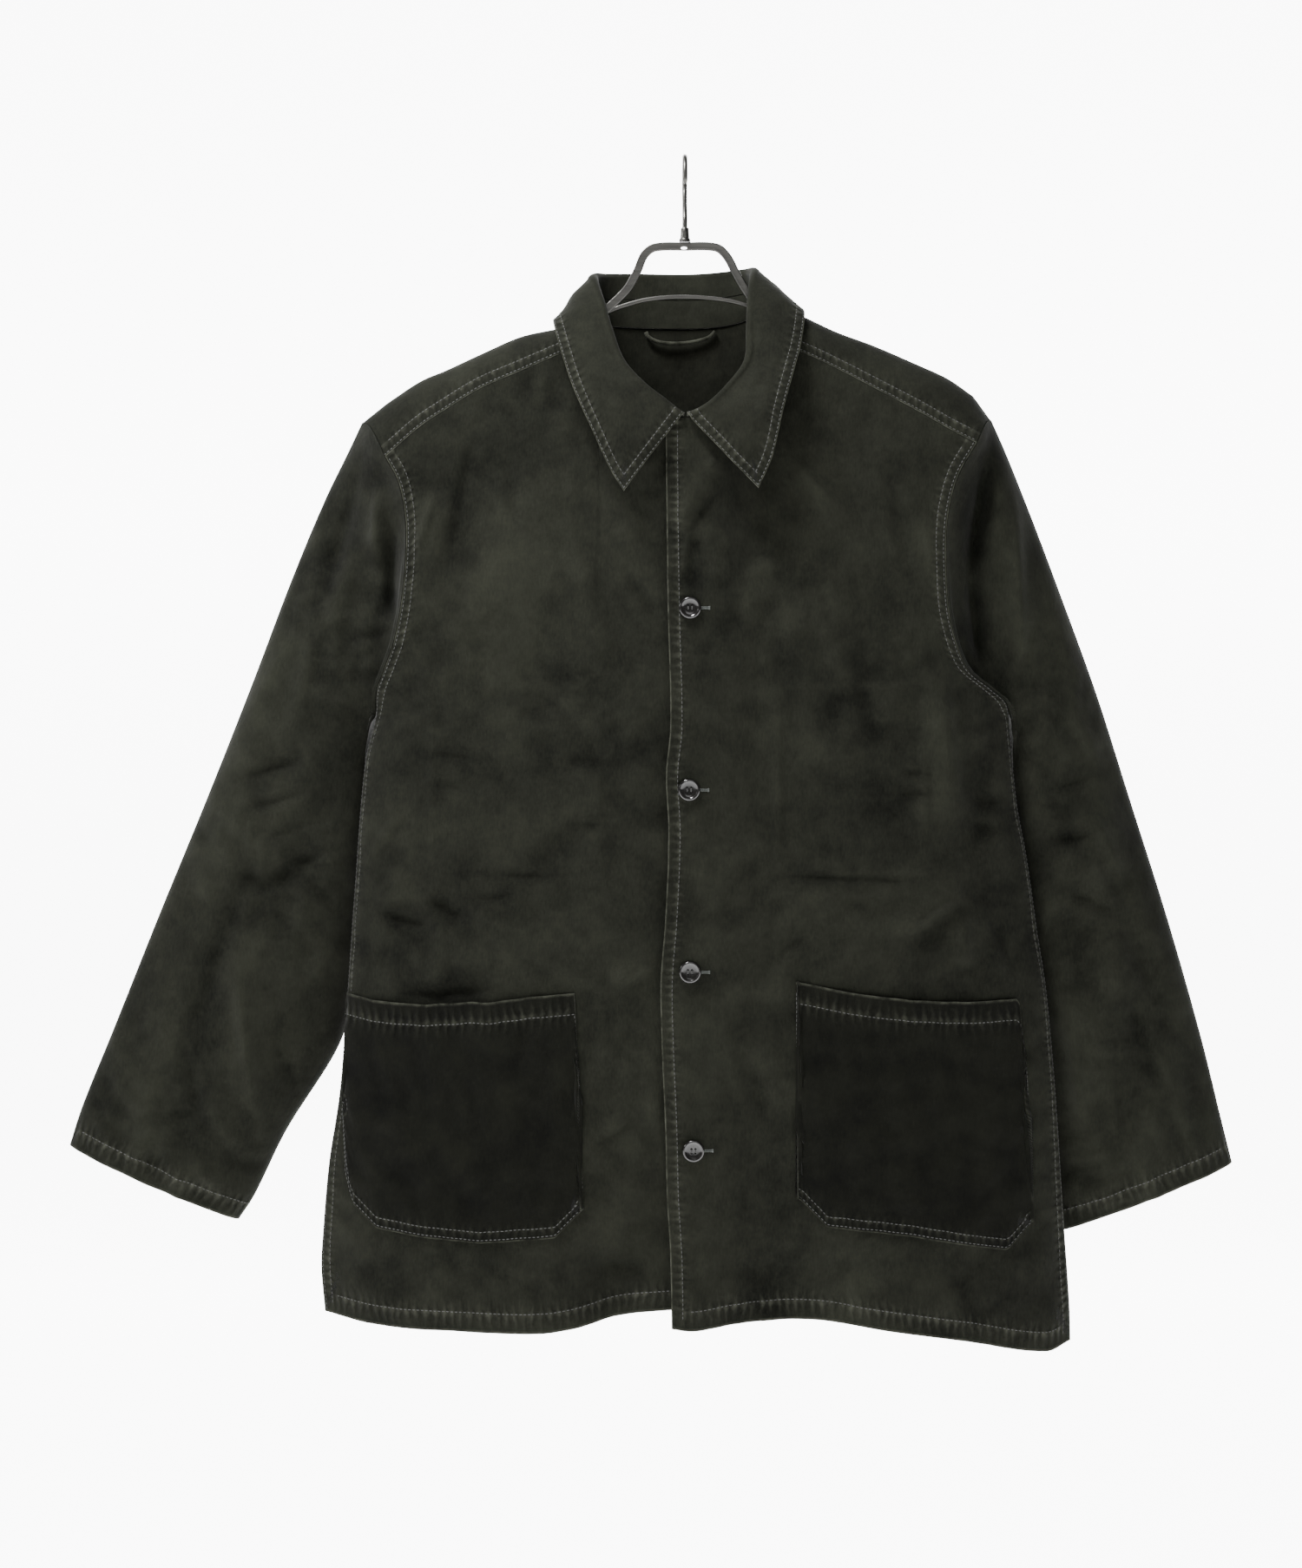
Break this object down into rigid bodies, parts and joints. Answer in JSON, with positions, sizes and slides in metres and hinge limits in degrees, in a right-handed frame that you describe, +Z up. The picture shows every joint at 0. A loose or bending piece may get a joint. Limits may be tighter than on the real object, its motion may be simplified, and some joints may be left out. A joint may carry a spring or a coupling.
{
  "type": "chore jacket on a metal hanger",
  "caption": "Dark olive cotton chore jacket with a turned-down collar and patch pockets, buttoned and hanging flat on a steel hanger.",
  "frame": {"origin": "underside of the hook's crown, where a rail carries the hanger", "axes": "+Z up, -Y the way the jacket's front faces, +X towards the wearer's left sleeve"},
  "size_m": [0.9352, 0.132, 0.9478],
  "materials": {
    "cloth": "matte, brushed and washed",
    "button": "glossy",
    "steel": "satin"
  },
  "bodies": {
    "root": {"back": "cloth", "front_right": "cloth", "front_left": "cloth", "sleeve_right": "cloth", "sleeve_left": "cloth", "collar_stand": "cloth", "collar_leaf": "cloth", "pocket_right": "cloth", "pocket_left": "cloth", "hanging_loop": "cloth", "button_1": "button", "button_2": "button", "button_3": "button", "button_4": "button", "hanger_bar": "steel", "hanger_ferrule": "steel", "hanger_hook": "steel"}
  },
  "joints": []
}
